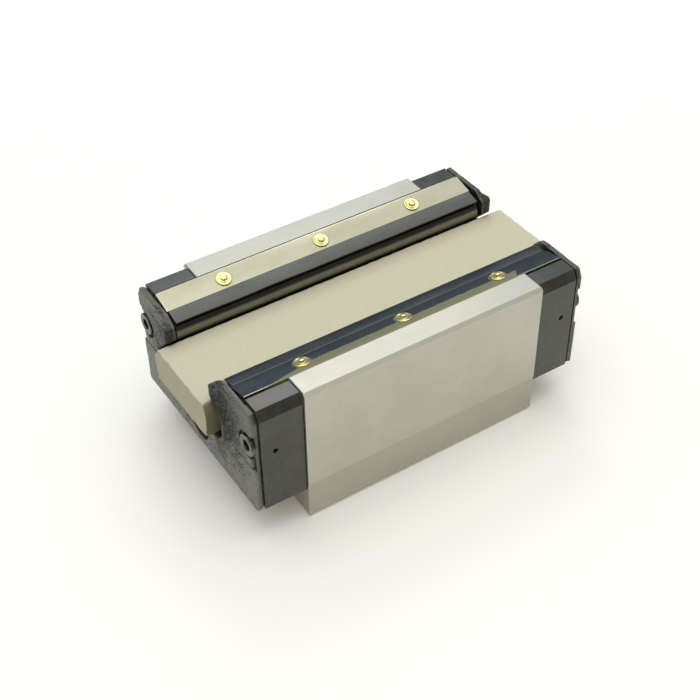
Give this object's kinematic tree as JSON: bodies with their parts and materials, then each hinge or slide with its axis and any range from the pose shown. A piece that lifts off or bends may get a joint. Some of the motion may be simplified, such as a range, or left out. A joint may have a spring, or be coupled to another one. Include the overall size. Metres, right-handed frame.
{
  "type": "linear guide carriage",
  "caption": "Caged-roller linear guide carriage with end caps, end seals, longitudinal lip seals, screwed retaining strips and a sliding dummy rail in its channel.",
  "frame": {"origin": "centre of the flat mounting face, midway along the steel body", "axes": "+X along the direction of travel towards the rear end, +Y towards the left leg, +Z from the mounting face to the open side of the rail channel"},
  "size_m": [0.1546, 0.086, 0.0612],
  "materials": {
    "ground_steel": "fine-ground bearing steel, warm grey, lightly oiled",
    "plate_steel": "thin rolled steel sheet with a dull greasy film",
    "strip_steel": "smooth semi-bright rolled strip, reflective at low angles",
    "roller_steel": "polished hardened rollers with a film of grease",
    "dark_screw_steel": "dark oiled steel",
    "brass": "bright turned brass",
    "cap_plastic": "dark grey moulded engineering plastic with a fine grain and a grey sheen",
    "guide_resin": "black moulded resin",
    "seal_rubber": "grey dusted rubber with smears and scuffs",
    "lip_rubber": "dark smooth rubber with a satin sheen",
    "fibre_board": "tan pressed fibre board, finely speckled, soft worn edges"
  },
  "bodies": {
    "carriage": {"carriage_body": "ground_steel", "end_cap_front": "cap_plastic", "seal_plate_front": "plate_steel", "end_seal_front": "seal_rubber", "lube_plug_front": "dark_screw_steel", "end_screw_front_left": "dark_screw_steel", "return_guide_front_left": "guide_resin", "end_screw_front_right": "dark_screw_steel", "return_guide_front_right": "guide_resin", "end_cap_rear": "cap_plastic", "seal_plate_rear": "plate_steel", "end_seal_rear": "seal_rubber", "lube_plug_rear": "dark_screw_steel", "end_screw_rear_left": "dark_screw_steel", "return_guide_rear_left": "guide_resin", "end_screw_rear_right": "dark_screw_steel", "return_guide_rear_right": "guide_resin", "retainer_strip_left": "strip_steel", "lip_seal_left": "lip_rubber", "middle_retainer_left": "guide_resin", "tip_retainer_left": "guide_resin", "roller_chain_left_tip": "roller_steel", "return_tube_left_tip": "guide_resin", "roller_chain_left_web": "roller_steel", "return_tube_left_web": "guide_resin", "strip_screw_left_front": "brass", "strip_screw_left_middle": "brass", "strip_screw_left_rear": "brass", "retainer_strip_right": "strip_steel", "lip_seal_right": "lip_rubber", "middle_retainer_right": "guide_resin", "tip_retainer_right": "guide_resin", "roller_chain_right_tip": "roller_steel", "return_tube_right_tip": "guide_resin", "roller_chain_right_web": "roller_steel", "return_tube_right_web": "guide_resin", "strip_screw_right_front": "brass", "strip_screw_right_middle": "brass", "strip_screw_right_rear": "brass"},
    "dummy": {"dummy_rail": "fibre_board"}
  },
  "joints": [
    {"name": "dummy_rail_slide", "type": "slide", "parent": "carriage", "child": "dummy", "axis": [1, 0, 0], "range_m": [-0.152, 0.15]}
  ]
}
